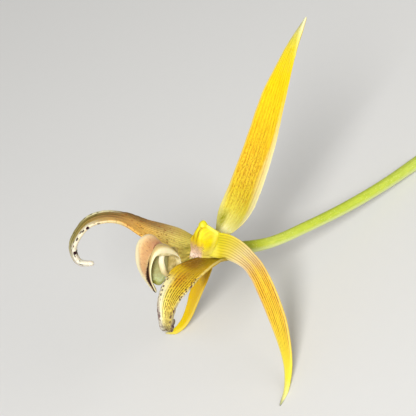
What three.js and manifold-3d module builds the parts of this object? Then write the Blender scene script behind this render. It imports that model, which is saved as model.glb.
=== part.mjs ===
// A single flower of a large-flowered Bulbophyllum orchid, picked with its pedicel and laid
// down so that it rests on both petal tips and on the cut end of the pedicel.
//
// Everything is drawn in the flower's own frame and written as [forward, side, up]: forward
// runs out of the flower, up runs along the dorsal sepal, and side is measured away from the
// flower's middle plane. Right and left are as seen by someone facing the flower. The whole
// flower is then pitched back into its resting pose.
import * as THREE from 'three';
import { mergeVertices } from 'three/addons/utils/BufferGeometryUtils.js';
import Module from 'manifold-3d';

const wasm = await Module();
wasm.setup();

// ---- driving dimensions: millimetres and degrees ----

const PITCH = 33.7;
const FLOWER_AT = [-14.9, 1.3, 28.9];
const SEAT_GAP = 0.3;

// Each tepal is a fleshy strap. Its spine runs from the base to the tip. The half width, the
// way its upper face looks and the angle that its margins turn up by are given at even steps
// along it. The midrib and the margin are thicknesses.
const DORSAL_SEPAL = {
  spine: [
    [6.4, 0, 4.6], [1.4, 0, 13], [-2.2, 0, 22.8], [-4.9, 0, 33.4], [-7.2, 0, 44.1], [-10.1, 0, 54.8],
    [-13.9, 0, 64.5],
  ],
  halfWidth: [2.8, 5.2, 6, 6, 5.9, 5.75, 5.45, 5, 4.45, 3.5, 2.4, 1.2, 0.4],
  facing: [[1, 0, 0.2], [1, 0, 0.3]],
  channel: [40, 24, 20, 24, 30],
  midrib: 1.5,
  margin: 0.9,
};

const LATERAL_SEPAL_RIGHT = {
  spine: [
    [6.2, 3.4, -1.8], [11.8, 4.8, -0.5], [17.2, 6.8, 0.7], [22.8, 9.9, 2.1], [28.5, 13.2, 2.8],
    [33.6, 16.3, 2.4], [37.6, 19.3, 1.2], [39, 21.1, -1.4], [37.6, 20, -4.6], [34.9, 18, -4],
  ],
  halfWidth: [1, 3.4, 4.5, 4.6, 4.4, 3.8, 2.9, 2.1, 1.6, 0.9],
  facing: [
    [0.2, -0.4, 0.9], [0.3, -0.1, 0.9], [0.6, 0.2, 0.7], [0.75, 0.45, 0.5], [0.8, 0.5, 0.1],
    [0, 0.4, -0.9],
  ],
  channel: [50, 40, 30, 30, 40, 50],
  midrib: 1.5,
  margin: 0.9,
};

const LATERAL_SEPAL_LEFT = {
  spine: [
    [6.1, 3.4, -1.4], [13.6, 5.7, 0.5], [18.4, 8.6, 2], [22.8, 13.7, 3.1], [27.2, 17.7, 5.3],
    [32.4, 19.8, 6.4], [37, 21.8, 4.5], [40.1, 22.8, -1.4], [39.1, 21.7, -6], [35.3, 19.6, -6.8],
  ],
  halfWidth: [1, 3.7, 4, 3.9, 3.4, 2.9, 2.6, 2.3, 1.9, 1.1],
  facing: [
    [0.3, -0.5, 0.6], [0.3, -0.3, 0.9], [0.1, 0, 1], [0.4, 0.1, 0.9], [0.97, 0.26, 0.09],
    [0.4, -0.4, -0.7],
  ],
  channel: [40, 30, 30, 40, 50],
  midrib: 1.5,
  margin: 0.9,
};

const PETAL_RIGHT = {
  spine: [
    [11.7, 2.6, 4.7], [7, 4.9, 3.3], [2.9, 8, -0.3], [0.9, 10.5, -3.7], [-0.7, 13.4, -8.5],
    [-2.6, 16.3, -15.2], [-3.4, 20.1, -22.8], [-3, 23.1, -29.1], [-0.9, 25.5, -33.7], [2.5, 27.5, -36.6],
  ],
  halfWidth: [4, 3.6, 2.9, 2.95, 3.15, 3.05, 2.2, 1.3, 0.75, 0.4],
  facing: [[0.81, 0.5, 0], [0.85, 0.4, 0.2], [0.95, 0.2, 0.1], [0.95, 0.2, 0.1], [0.8, 0.2, 0.5]],
  channel: [20, 24, 24, 24, 20],
  midrib: 1.4,
  margin: 0.9,
};

const PETAL_LEFT = {
  spine: [
    [11.5, 2.6, 3.6], [7, 4.9, 2.8], [4.3, 6.7, -0.8], [3.9, 7.4, -6], [4.5, 8.5, -11.9],
    [3.9, 11.4, -18], [3.4, 13.9, -24], [3, 16, -29.4], [3.6, 17.6, -34], [5, 19.7, -37.6],
    [6.8, 22.1, -39.3],
  ],
  halfWidth: [3.2, 3.2, 2.9, 2.9, 3, 3.1, 2.8, 2.2, 1.6, 1, 0.4],
  facing: [[0.81, 0.5, 0], [0.9, 0.2, 0.2], [0.95, 0.2, 0.1], [0.95, 0.2, 0.1], [0.8, 0.2, 0.5]],
  channel: [20, 24, 24, 24, 20],
  midrib: 1.4,
  margin: 0.9,
};

// The lip is a thick tongue that arches over and down, split by a groove along its outer face,
// with a fleshy keel hanging inside the arch.
const LIP = {
  spine: [
    [21.2, 0, -1.6], [22.6, 0, 3], [26, 0, 6.2], [29.5, 0, 7.1], [31.7, 0, 5.6], [32.3, 0, 2.1],
    [31, 0, -2.5], [28.5, 0, -7],
  ],
  archCentre: [27, 0, 0.5],
  halfWidth: [2, 2.5, 3, 3.2, 3.2, 3, 2.2, 0.6],
  outerDepth: 1.3,
  innerDepth: 1.2,
  grooveDepth: 1.1,
  grooveWidth: 0.25,
  keel: {
    path: [[26.2, 0, 4], [26.2, 0, 0.8], [26.6, 0, -2.6], [26.8, 0, -5.6]],
    radius: [2, 2.4, 2.4, 0.9],
  },
};

const COLUMN = {
  halfWidth: 2.5,
  rounding: 0.7,
  shoulderHeight: 4.5,
  apexHeight: 9.6,
  apexTaper: 0.4,
};

const ANTHER_CAP = { centre: [13.8, 0, 9.8], radius: 1.2, height: 1 };

const PEDICEL = {
  path: [[5.5, 0, -0.4], [-10.6, 0, -1.8], [-25, 0, 0.3], [-40, 0, 3.5], [-55, 0, 8], [-70.5, 0, 14]],
  radius: [2.1, 1.65, 1.6, 1.65, 1.7, 1.9],
};

// ---- curves and frames ----

const at = (forward, side, up) => new THREE.Vector3(-forward, -side, up);

// The smooth value of an evenly spaced list of numbers or points, at t from 0 to 1.
function along(list, t) {
  if (Array.isArray(list[0])) {
    return list[0].map((_, axis) => along(list.map((row) => row[axis]), t));
  }
  const last = list.length - 1;
  const i = Math.min(Math.floor(t * last), last - 1);
  const x = t * last - i;
  const before = list[i - 1] ?? 2 * list[0] - list[1];
  const after = list[i + 2] ?? 2 * list[last] - list[last - 1];
  const [start, end] = [list[i], list[i + 1]];
  const startSlope = (end - before) / 2;
  const endSlope = (after - start) / 2;
  const bend = 3 * (end - start) - 2 * startSlope - endSlope;
  const twist = 2 * (start - end) + startSlope + endSlope;
  return start + x * (startSlope + x * (bend + x * twist));
}

// A point of a spine with its direction, the way out of the given side, and the way across.
function frameAt(spine, facing, t) {
  const step = 1e-3;
  const tangent = at(...along(spine, Math.min(t + step, 1)));
  tangent.sub(at(...along(spine, Math.max(t - step, 0)))).normalize();
  const outward = at(...facing);
  outward.addScaledVector(tangent, -outward.dot(tangent)).normalize();
  const across = new THREE.Vector3().crossVectors(outward, tangent);
  return { here: at(...along(spine, t)), outward, across };
}

const evenly = (count, from, to) =>
  Array.from({ length: count + 1 }, (_, i) => from + ((to - from) * i) / count);

// ---- solids ----

function geometryOf(positions, triangles) {
  const geometry = new THREE.BufferGeometry();
  geometry.setAttribute('position', new THREE.Float32BufferAttribute(positions, 3));
  geometry.setIndex(triangles);
  return geometry;
}

// A closed solid from equal rings of points, capped at both ends. The first half of each ring
// crosses the front and the second half comes back across the rear, and both halves are split
// into triangles alike.
function loft(rings) {
  const count = rings[0].length;
  const half = count / 2;
  const triangles = [];
  const quad = (a, b, c, d) => triangles.push(a, c, b, a, d, c);
  for (let i = 0; i < rings.length - 1; i += 1) {
    const near = i * count;
    const far = near + count;
    for (let j = 0; j < count; j += 1) {
      const k = (j + 1) % count;
      if (j < half) quad(near + j, near + k, far + k, far + j);
      else quad(near + k, far + k, far + j, near + j);
    }
  }
  const end = (rings.length - 1) * count;
  for (let j = 0; j < half - 1; j += 1) {
    const back = count - 1 - j;
    quad(j, back, back - 1, j + 1);
    quad(end + j, end + j + 1, end + back - 1, end + back);
  }
  return geometryOf(rings.flat().flatMap((point) => point.toArray()), triangles);
}

// A strap along a spine. front(t, v) and rear(t, v) are its depths to either side of the
// spine's surface, with t along it and v from -1 to 1 across it.
function strap({ spine, facing, halfWidth, channel }, front, rear, steps, columns) {
  return loft(evenly(steps, 0, 1).map((t) => {
    const { here, outward, across } = frameAt(spine, along(facing, t), t);
    const turn = THREE.MathUtils.degToRad(along(channel, t));
    const radius = along(halfWidth, t) / turn;
    const point = (v, depth) => here.clone()
      .addScaledVector(across, (radius - depth) * Math.sin(turn * v))
      .addScaledVector(outward, radius - (radius - depth) * Math.cos(turn * v));
    const frontRow = columns.map((v) => point(v, front(t, v)));
    const rearRow = columns.map((v) => point(v, -rear(t, v))).reverse();
    return [...frontRow, ...rearRow];
  }));
}

function roundStem({ path, radius }, sides, steps) {
  return loft(evenly(steps, 0, 1).map((t) => {
    const { here, outward, across } = frameAt(path, [0, 1, 0], t);
    return Array.from({ length: sides }, (_, j) => {
      const angle = (2 * Math.PI * (j + 0.5)) / sides;
      return here.clone()
        .addScaledVector(across, -along(radius, t) * Math.cos(angle))
        .addScaledVector(outward, along(radius, t) * Math.sin(angle));
    });
  }));
}

function toSolid(geometry) {
  const bare = geometry.clone();
  bare.deleteAttribute('normal');
  bare.deleteAttribute('uv');
  const merged = mergeVertices(bare, 1e-4);
  return new wasm.Manifold(new wasm.Mesh({
    numProp: 3,
    vertProperties: new Float32Array(merged.getAttribute('position').array),
    triVerts: new Uint32Array(merged.getIndex().array),
  }));
}

// The largest body of a solid: what a cut leaves on the far side of a seat is dropped.
function toGeometry(solid) {
  const [body] = solid.decompose().sort((a, b) => b.volume() - a.volume());
  const { vertProperties, triVerts } = body.getMesh();
  return geometryOf(Array.from(vertProperties), Array.from(triVerts));
}

// ---- the pieces ----

// The column with its foot: an outline of (forward, up) points given a rounded thickness that
// narrows to the apex. grow widens it on every side, to leave room for what is seated on it.
function columnSolid(grow) {
  const outline = new THREE.Shape();
  outline.moveTo(-4.6, 0.2);
  outline.lineTo(-5.6, 4.6);
  outline.quadraticCurveTo(-9, 6.2, -12.2, 9.6);
  outline.lineTo(-14.9, 9.1);
  outline.quadraticCurveTo(-17, 5.8, -15.6, 1.2);
  outline.quadraticCurveTo(-17.4, 0.3, -20.6, -1);
  outline.lineTo(-20.2, -2.4);
  outline.quadraticCurveTo(-14, -3, -8, -2.2);
  outline.closePath();
  const depth = 2 * (COLUMN.halfWidth - COLUMN.rounding);
  const geometry = new THREE.ExtrudeGeometry(outline, {
    depth,
    curveSegments: 5,
    bevelThickness: COLUMN.rounding + grow,
    bevelSize: COLUMN.rounding + grow,
    bevelOffset: -COLUMN.rounding,
    bevelSegments: 3,
  });
  geometry.translate(0, 0, -depth / 2);
  geometry.rotateX(Math.PI / 2);
  const position = geometry.getAttribute('position');
  for (let i = 0; i < position.count; i += 1) {
    const rise = (position.getZ(i) - COLUMN.shoulderHeight) / (COLUMN.apexHeight - COLUMN.shoulderHeight);
    const narrowing = 1 - (1 - COLUMN.apexTaper) * THREE.MathUtils.clamp(rise, 0, 1);
    position.setY(i, position.getY(i) * narrowing);
  }
  return toSolid(geometry);
}

function antherCap({ centre, radius, height }) {
  const dome = evenly(8, 0, Math.PI / 2).map((angle) =>
    new THREE.Vector2(radius * Math.cos(angle), height * Math.sin(angle)));
  dome[8].x = 0;
  const geometry = new THREE.LatheGeometry([new THREE.Vector2(0, 0), ...dome], 20);
  geometry.rotateX(Math.PI / 2);
  geometry.translate(...at(...centre));
  return geometry;
}

function lip() {
  const [centreForward, , centreUp] = LIP.archCentre;
  const facing = LIP.spine.map(([forward, , up]) => [forward - centreForward, 0, up - centreUp]);
  const form = { ...LIP, facing, channel: [1, 1] };
  const taper = (t) => 1 - 0.6 * t * t;
  const groove = (v) => LIP.grooveDepth * Math.exp(-((v / LIP.grooveWidth) ** 2));
  const front = (t, v) => (LIP.outerDepth - groove(v)) * taper(t);
  const rear = (t, v) => LIP.innerDepth * (1 - 0.4 * v * v) * taper(t);
  const columns = [-1, -0.9, -0.65, -0.35, -0.15, 0, 0.15, 0.35, 0.65, 0.9, 1];
  const arch = toSolid(strap(form, front, rear, 26, columns));
  return arch.add(toSolid(roundStem(LIP.keel, 14, 12)));
}

// grow widens a tepal on every side, to leave room for it in a neighbour.
function tepal(form, grow = 0) {
  const depth = (t, v) => (form.margin + (form.midrib - form.margin) * (1 - v * v)) / 2 + grow;
  const halfWidth = form.halfWidth.map((width) => width + grow);
  return toSolid(strap({ ...form, halfWidth }, depth, depth, 34, evenly(8, -1, 1)));
}

const pedicel = () => toSolid(roundStem(PEDICEL, 16, 34));

// ---- assembly ----

const flower = new THREE.Group();
flower.rotation.y = THREE.MathUtils.degToRad(PITCH);
flower.position.set(...FLOWER_AT);
flower.updateMatrixWorld();

const seatRoom = columnSolid(SEAT_GAP);
const seated = (solid) => solid.subtract(seatRoom);

// The surface that the flower lies on, as a slab in the flower's frame: it trims the petal tips
// and the pedicel's end to the small flat spots that they rest on.
const slab = new THREE.BoxGeometry(300, 300, 40);
slab.translate(0, 0, -20);
slab.applyMatrix4(flower.matrixWorld.clone().invert());
const surface = toSolid(slab);
const resting = (solid) => seated(solid).subtract(surface);

const toLeft = (solid) => solid.mirror([0, 1, 0]);

// A lateral sepal gives way to the petal that leaves the column above it.
const underPetal = (sepal, petal) => seated(tepal(sepal).subtract(tepal(petal, SEAT_GAP)));

function add(name, solid, color, roughness) {
  const material = new THREE.MeshStandardMaterial({ color, roughness, metalness: 0 });
  const mesh = new THREE.Mesh(toGeometry(solid), material);
  mesh.name = name;
  flower.add(mesh);
}

add('column', columnSolid(0), '#d9cf2e', 0.5);
add('anther_cap', toSolid(antherCap(ANTHER_CAP)), '#e8e04a', 0.45);
add('lip', seated(lip()), '#e2b98f', 0.5);
add('dorsal_sepal', seated(tepal(DORSAL_SEPAL)), '#d9a62a', 0.5);
add('lateral_sepal_right', underPetal(LATERAL_SEPAL_RIGHT, PETAL_RIGHT), '#cda443', 0.5);
add('lateral_sepal_left', toLeft(underPetal(LATERAL_SEPAL_LEFT, PETAL_LEFT)), '#cda443', 0.5);
add('petal_right', resting(tepal(PETAL_RIGHT)), '#e3c628', 0.5);
add('petal_left', resting(toLeft(tepal(PETAL_LEFT))), '#e3c628', 0.5);
add('pedicel', resting(pedicel()), '#b4c83c', 0.5);

export default flower;
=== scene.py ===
import math

import bmesh
import bpy
import numpy as np
from mathutils import Matrix, Vector


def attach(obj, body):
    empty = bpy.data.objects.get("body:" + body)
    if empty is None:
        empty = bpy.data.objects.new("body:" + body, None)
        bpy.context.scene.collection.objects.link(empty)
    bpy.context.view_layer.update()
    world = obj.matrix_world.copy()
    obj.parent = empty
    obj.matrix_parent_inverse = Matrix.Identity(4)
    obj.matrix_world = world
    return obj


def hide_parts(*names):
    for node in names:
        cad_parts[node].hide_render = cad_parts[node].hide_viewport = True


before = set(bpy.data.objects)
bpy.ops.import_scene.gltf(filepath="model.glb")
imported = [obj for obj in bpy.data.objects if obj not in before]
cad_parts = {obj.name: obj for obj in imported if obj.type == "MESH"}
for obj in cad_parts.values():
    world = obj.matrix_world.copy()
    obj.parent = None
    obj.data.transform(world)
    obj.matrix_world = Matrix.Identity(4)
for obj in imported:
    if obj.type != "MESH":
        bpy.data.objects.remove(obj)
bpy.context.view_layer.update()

MM = 0.001
SCENE = bpy.context.scene

# ---- the flower's dimensions: millimetres and degrees, places as [forward, side, up] ----

# The flower's own frame leans back by PITCH, and its origin is at FLOWER_AT above the surface.
PITCH = math.radians(33.7)
FLOWER_AT = np.array([-14.9, 1.3, 28.9])
AXES = np.array([-1, -1, 1])      # (forward, side, up) to (back, left, up)

DORSAL_SEPAL = {
    "spine": [[6.4, 0, 4.6], [1.4, 0, 13], [-2.2, 0, 22.8], [-4.9, 0, 33.4], [-7.2, 0, 44.1],
              [-10.1, 0, 54.8], [-13.9, 0, 64.5]],
    "half_width": [2.8, 5.2, 6, 6, 5.9, 5.75, 5.45, 5, 4.45, 3.5, 2.4, 1.2, 0.4],
    "facing": [[1, 0, 0.2], [1, 0, 0.3]],
    "channel": [40, 24, 20, 24, 30],
    "midrib": 1.5,
}
LATERAL_SEPAL_RIGHT = {
    "spine": [[6.2, 3.4, -1.8], [11.8, 4.8, -0.5], [17.2, 6.8, 0.7], [22.8, 9.9, 2.1],
              [28.5, 13.2, 2.8], [33.6, 16.3, 2.4], [37.6, 19.3, 1.2], [39.2, 21.2, -1.9],
              [37.9, 20.2, -5.2], [35, 18.1, -4.4]],
    "half_width": [1, 3.4, 4.5, 4.6, 4.4, 3.8, 2.9, 2.1, 1.6, 0.9],
    "facing": [[0.2, -0.4, 0.9], [0.3, -0.1, 0.9], [0.6, 0.2, 0.7], [0.75, 0.45, 0.5],
               [0.8, 0.5, 0.1], [0, 0.4, -0.9]],
    "channel": [50, 40, 30, 30, 40, 50],
    "midrib": 1.5,
}
LATERAL_SEPAL_LEFT = {
    "spine": [[6.1, 3.4, -1.4], [13.6, 5.7, 0.5], [18.4, 8.6, 2], [22.8, 13.7, 3.1],
              [27.2, 17.7, 5.3], [32.4, 19.8, 6.4], [37, 21.8, 4.5], [40.1, 22.8, -1.4],
              [39.1, 21.7, -6], [35.3, 19.6, -6.8]],
    "half_width": [1, 3.7, 4, 3.9, 3.4, 2.9, 2.6, 2.3, 1.9, 1.1],
    "facing": [[0.3, -0.5, 0.6], [0.3, -0.3, 0.9], [0.1, 0, 1], [0.4, 0.1, 0.9],
               [0.97, 0.26, 0.09], [0.4, -0.4, -0.7]],
    "channel": [40, 30, 30, 40, 50],
    "midrib": 1.5,
}
PETAL_RIGHT = {
    "spine": [[11.7, 2.6, 4.7], [7, 4.9, 3.3], [2.9, 8, -0.3], [0.9, 10.5, -3.7],
              [-0.7, 13.4, -8.5], [-2.6, 16.3, -15.2], [-3.4, 20.1, -22.8], [-3, 23.1, -29.1],
              [-0.9, 25.5, -33.7], [2.5, 27.5, -36.6]],
    "half_width": [4, 3.6, 2.9, 2.95, 3.15, 3.05, 2.2, 1.3, 0.75, 0.4],
    "facing": [[0.81, 0.5, 0], [0.85, 0.4, 0.2], [0.95, 0.2, 0.1], [0.95, 0.2, 0.1],
               [0.8, 0.2, 0.5]],
    "channel": [20, 24, 24, 24, 20],
    "midrib": 1.4,
}
PETAL_LEFT = {
    "spine": [[11.5, 2.6, 3.6], [7, 4.9, 2.8], [4.3, 6.7, -0.8], [3.9, 7.4, -6],
              [4.5, 8.5, -11.9], [3.9, 11.4, -18], [3.4, 13.9, -24], [3, 16, -29.4],
              [3.6, 17.6, -34], [5, 19.7, -37.6], [6.8, 22.1, -39.3]],
    "half_width": [3.2, 3.2, 2.9, 2.9, 3, 3.1, 2.8, 2.2, 1.6, 1, 0.4],
    "facing": [[0.81, 0.5, 0], [0.9, 0.2, 0.2], [0.95, 0.2, 0.1], [0.95, 0.2, 0.1],
               [0.8, 0.2, 0.5]],
    "channel": [20, 24, 24, 24, 20],
    "midrib": 1.4,
}
LIP = {
    "spine": [[21.2, 0, -1.6], [22.6, 0, 3], [26, 0, 6.2], [29.5, 0, 7.1], [31.7, 0, 5.6],
              [32.3, 0, 2.1], [31, 0, -2.5], [27.7, 0, -7.9]],
    "half_width": [2, 2.5, 3, 3.2, 3.2, 3, 2.2, 0.6],
    "facing": [[-5.8, 0, -2.1], [-4.4, 0, 2.5], [-1, 0, 5.7], [2.5, 0, 6.6], [4.7, 0, 5.1],
               [5.3, 0, 1.6], [4, 0, -3], [1.5, 0, -7.5]],
    "channel": [1, 1],
}
PEDICEL = {
    "path": [[5.5, 0, -0.4], [-10.6, 0, -1.8], [-25, 0, 0.3], [-40, 0, 3.5], [-55, 0, 8],
             [-70.5, 0, 14]],
    "radius": [2.1, 1.65, 1.6, 1.65, 1.7, 1.9],
}
MARGIN = 0.9      # how thick every sepal and petal is along its margins
CAP_CENTRE = np.array([13.8, 0, 9.8])


# ---- curves and points ----

def along(values, t):
    """The smooth value of an evenly spaced list of numbers or points, at t from 0 to 1."""
    values = np.asarray(values, float)
    t = np.asarray(t, float)
    last = len(values) - 1
    i = np.clip(np.floor(t * last).astype(int), 0, last - 1)
    x = t * last - i
    padded = np.concatenate([[2 * values[0] - values[1]], values, [2 * values[-1] - values[-2]]])
    before, start, end, after = (padded[i + k] for k in range(4))
    if values.ndim > 1:
        x = x[..., None]
    start_slope = (end - before) / 2
    end_slope = (after - start) / 2
    bend = 3 * (end - start) - 2 * start_slope - end_slope
    twist = 2 * (start - end) + start_slope + end_slope
    return start + x * (start_slope + x * (bend + x * twist))


def unit(vectors):
    return vectors / np.linalg.norm(vectors, axis=-1, keepdims=True)


def smooth(x, low, high):
    """0 below low and 1 above high, smooth between."""
    x = np.clip((x - low) / (high - low), 0, 1)
    return x * x * (3 - 2 * x)


def window(x, rise, full, fade, end):
    """1 between full and fade, and 0 before rise and after end."""
    return smooth(x, rise, full) * (1 - smooth(x, fade, end))


def wander(x, seed):
    """A smooth irregular line of height about 1, made of a few seeded waves."""
    draw = np.random.default_rng(seed)
    total = np.zeros_like(x)
    for k in range(1, 6):
        total = total + np.sin(k * x * draw.uniform(0.7, 1.3) + draw.uniform(0, 6.28)) / k ** 0.5
    return total / 2


def lengths(route):
    """How far along a route each of its points is."""
    return np.concatenate([[0], np.cumsum(np.linalg.norm(np.diff(route, axis=0), axis=1))])


def frames(spine, facing, t):
    """The place, the outward direction and the direction across, at t along a spine."""
    ahead = along(spine, np.minimum(t + 1e-3, 1))
    behind = along(spine, np.maximum(t - 1e-3, 0))
    tangent = unit((ahead - behind) * AXES)
    outward = facing * AXES
    outward = unit(outward - tangent * (outward * tangent).sum(-1, keepdims=True))
    return along(spine, t) * AXES, outward, np.cross(outward, tangent)


def strap(form, t, v, depth, half_width=None):
    """Points at t along a strap, v from -1 to 1 across it and a depth to the front of it."""
    here, outward, across = frames(form["spine"], along(form["facing"], t), t)
    turn = np.radians(along(form["channel"], t))
    radius = (along(form["half_width"], t) if half_width is None else half_width) / turn
    side = (radius - depth) * np.sin(turn * v)
    rise = radius - (radius - depth) * np.cos(turn * v)
    return here + across * side[..., None] + outward * rise[..., None]


def pitched(back, aside, up, angle):
    """A place turned about the axis that runs across the flower."""
    c, s = math.cos(angle), math.sin(angle)
    return np.stack([back * c + up * s, aside, up * c - back * s], -1)


def placed(points, left=False):
    """Millimetres in the flower's frame to metres on the surface that it lies on."""
    back, aside, up = np.moveaxis(points, -1, 0)
    return (pitched(back, -aside if left else aside, up, PITCH) + FLOWER_AT) * MM


def in_flower(points):
    """The inverse of placed: metres to (forward, side, up) millimetres."""
    x, y, z = np.moveaxis(np.asarray(points) / MM - FLOWER_AT, -1, 0)
    return pitched(x, y, z, -PITCH) * AXES


# ---- meshes ----

def add_object(name, mesh):
    thing = bpy.data.objects.new(name, mesh)
    SCENE.collection.objects.link(thing)
    return thing


def read_all(items, key, size=3, kind=float):
    """One property of all vertices, edges or corners of a mesh, each of so many numbers."""
    values = np.empty(size * len(items), kind)
    items.foreach_get(key, values)
    return values.reshape(-1, size)


def points_of(thing):
    return read_all(thing.data.vertices, "co")


def move_points(thing, points):
    thing.data.vertices.foreach_set("co", points.ravel())


def set_fields(mesh, fields):
    """Shades a mesh smooth and adds UV maps, each a pair of numbers a vertex."""
    corner = read_all(mesh.loops, "vertex_index", 1, int)
    for name, values in fields.items():
        layer = mesh.uv_layers.new(name=name)
        layer.data.foreach_set("uv", np.asarray(values, np.float32)[corner].ravel())
    mesh.polygons.foreach_set("use_smooth", np.ones(len(mesh.polygons), bool))
    mesh.update()


def strap_fields(v, t, wide, long, face, inset):
    """The UV maps of a strap: v across from -1 to 1, t along it, millimetres across and along,
    the face from -1 at the rear to 1 at the front, and millimetres from the margin."""
    return {
        "Strap": np.stack([v / 2 + 0.5, t], -1),
        "Size": np.stack([wide, np.broadcast_to(long, wide.shape)], -1) / 100,
        "Face": np.stack([face / 2 + 0.5, inset / 10], -1),
    }


def loft(name, rings, fields, left=False):
    """A closed object from equal rings of points, capped at both ends."""
    rows, count = rings.shape[:2]
    i, j = np.meshgrid(np.arange(rows - 1), np.arange(count), indexing="ij")
    k = (j + 1) % count
    quads = np.stack([i * count + j, i * count + k, (i + 1) * count + k, (i + 1) * count + j], -1)
    quads = quads.reshape(-1, 4)
    half = count // 2
    j = np.arange(1, half - 1)
    cap = np.stack([j, j + 1, count - j - 1, count - j], -1)
    last = (rows - 1) * count
    faces = quads.tolist() + cap[:, ::-1].tolist() + (last + cap).tolist()
    for a, b, c in ((0, 1, count - 1), (half - 1, half, half + 1)):
        faces += [[a, c, b], [last + a, last + b, last + c]]
    points = placed(rings.reshape(-1, 3), left)
    a, b, c = (points[quads[:, k]] for k in range(3))
    if (np.cross(a, b) * c).sum() < 0:
        faces = [face[::-1] for face in faces]
    mesh = bpy.data.meshes.new(name)
    mesh.from_pydata(points.tolist(), [], faces)
    mesh.validate()
    set_fields(mesh, {key: value.reshape(-1, 2) for key, value in fields.items()})
    return add_object(name, mesh)


def settle(thing):
    """Applies an object's modifiers."""
    graph = bpy.context.evaluated_depsgraph_get()
    mesh = bpy.data.meshes.new_from_object(thing.evaluated_get(graph))
    thing.modifiers.clear()
    old = thing.data
    thing.data = mesh
    bpy.data.meshes.remove(old)


def combine(thing, operation, others):
    """Joins other objects to one, or cuts them out of it."""
    for other in others:
        modifier = thing.modifiers.new("Combine", "BOOLEAN")
        modifier.operation = operation
        modifier.solver = "MANIFOLD"
        modifier.object = other
    settle(thing)
    keep_largest(thing)


def keep_largest(thing):
    """Drops the crumbs that a cut leaves on the far side of a seat."""
    mesh = thing.data
    edges = read_all(mesh.edges, "vertices", 2, int)
    label = None
    fresh = np.arange(len(mesh.vertices))
    while (fresh != label).any():
        label = fresh
        fresh = label.copy()
        np.minimum.at(fresh, edges, label[edges].min(axis=1, keepdims=True))
        fresh = fresh[fresh]
    crumb = label != np.bincount(label).argmax()
    if crumb.any():
        body = bmesh.new()
        body.from_mesh(mesh)
        bmesh.ops.delete(body, geom=[v for v in body.verts if crumb[v.index]], context="VERTS")
        body.to_mesh(mesh)
        body.free()


# ---- materials ----

def linear(hex_colour):
    """A colour such as "ffcc00" as the linear numbers that a shader takes."""
    channels = [int(hex_colour[i:i + 2], 16) / 255 for i in (0, 2, 4)]
    return [c / 12.92 if c <= 0.04045 else ((c + 0.055) / 1.055) ** 2.4 for c in channels] + [1]


def math_node(operation, swapped=False):
    """A method of Num that is one operation of a math node."""
    def method(self, *others):
        values = (*others, self) if swapped else (self, *others)
        return self.paint.math(operation, *values)
    return method


class Num:
    """A number that varies over a surface: the output of a shader node, fit for sums."""

    def __init__(self, paint, socket):
        self.paint, self.socket = paint, socket

    __add__ = __radd__ = math_node("ADD")
    __mul__ = __rmul__ = math_node("MULTIPLY")
    __sub__ = math_node("SUBTRACT")
    __rsub__ = math_node("SUBTRACT", swapped=True)
    __abs__ = math_node("ABSOLUTE")
    rounded = math_node("ROUND")
    most = math_node("MAXIMUM")

    def step(self, low, high):
        """0 below low and 1 above high, smooth between. low may be the larger."""
        node = self.paint.node("ShaderNodeMapRange", interpolation_type="SMOOTHSTEP")
        for socket, value in zip(node.inputs, (self, low, high, 0, 1)):
            self.paint.feed(socket, value)
        return Num(self.paint, node.outputs[0])

    def band(self, rise, full, fade, end):
        """1 between full and fade, and 0 before rise and after end."""
        return self.step(rise, full) * self.step(end, fade)

    def bell(self, middle, spread):
        """1 at the middle, falling to 0 at a spread to either side."""
        return abs(self - middle).step(spread, 0)

    def ramp(self, stops):
        """A colour by number. Stops are hundredths and colours, as in "0 ffffff, 50 ffcc00"."""
        node = self.paint.node("ShaderNodeValToRGB")
        self.paint.feed(node.inputs[0], self)
        elements = node.color_ramp.elements
        elements.remove(elements[1])
        for k, stop in enumerate(stops.split(", ")):
            hundredths, colour = stop.split()
            position = float(hundredths) / 100
            element = elements.new(position) if k else elements[0]
            element.position = position
            element.color = linear(colour)
        return node.outputs[0]


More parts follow.
